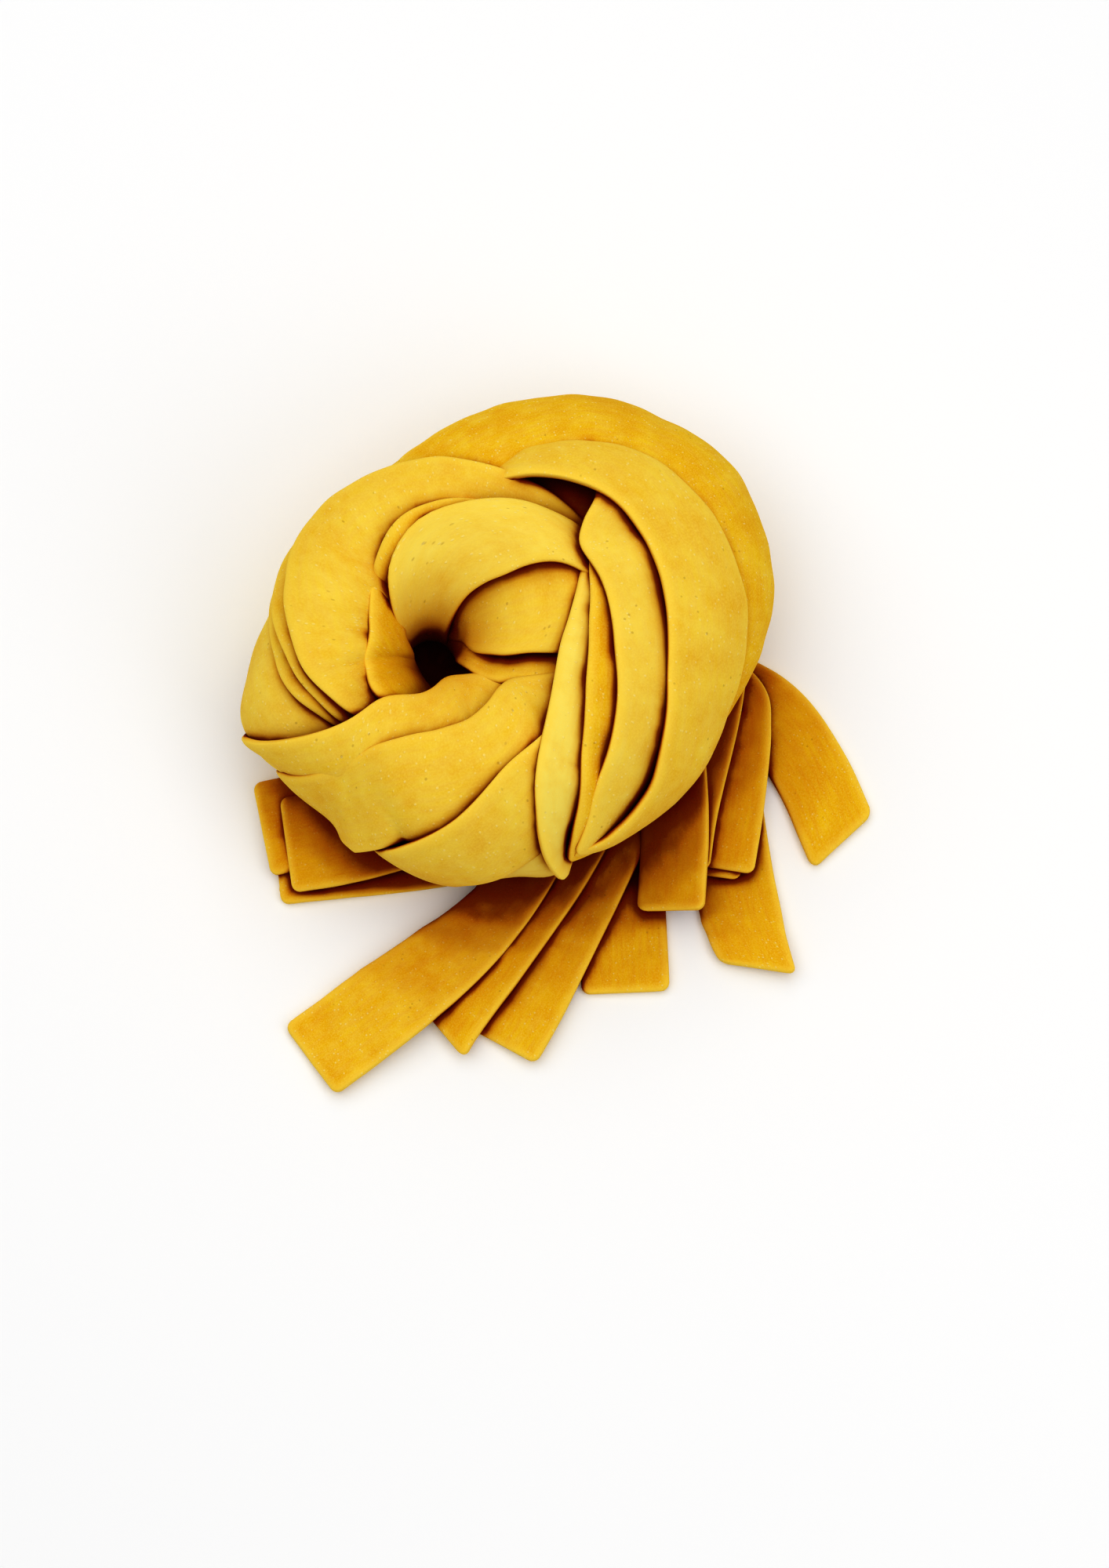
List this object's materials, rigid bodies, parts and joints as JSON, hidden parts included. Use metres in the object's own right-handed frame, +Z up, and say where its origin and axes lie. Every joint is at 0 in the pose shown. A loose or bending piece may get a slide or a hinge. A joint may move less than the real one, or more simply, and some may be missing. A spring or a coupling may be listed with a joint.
{
  "type": "dry pasta nest",
  "caption": "Lopsided nest of wide flat egg-pasta ribbons wound round a small eye, with the cut ends fanned out flat in front.",
  "frame": {"origin": "middle of the footprint's bounding box, on the surface that the nest lies on", "axes": "+Z up; -Y towards the front, where the loose ends are fanned out; +X to the right seen from the front"},
  "size_m": [0.1298, 0.1404, 0.0499],
  "materials": {
    "pasta": null
  },
  "bodies": {
    "root": {"pasta_nest": "pasta"}
  },
  "joints": []
}
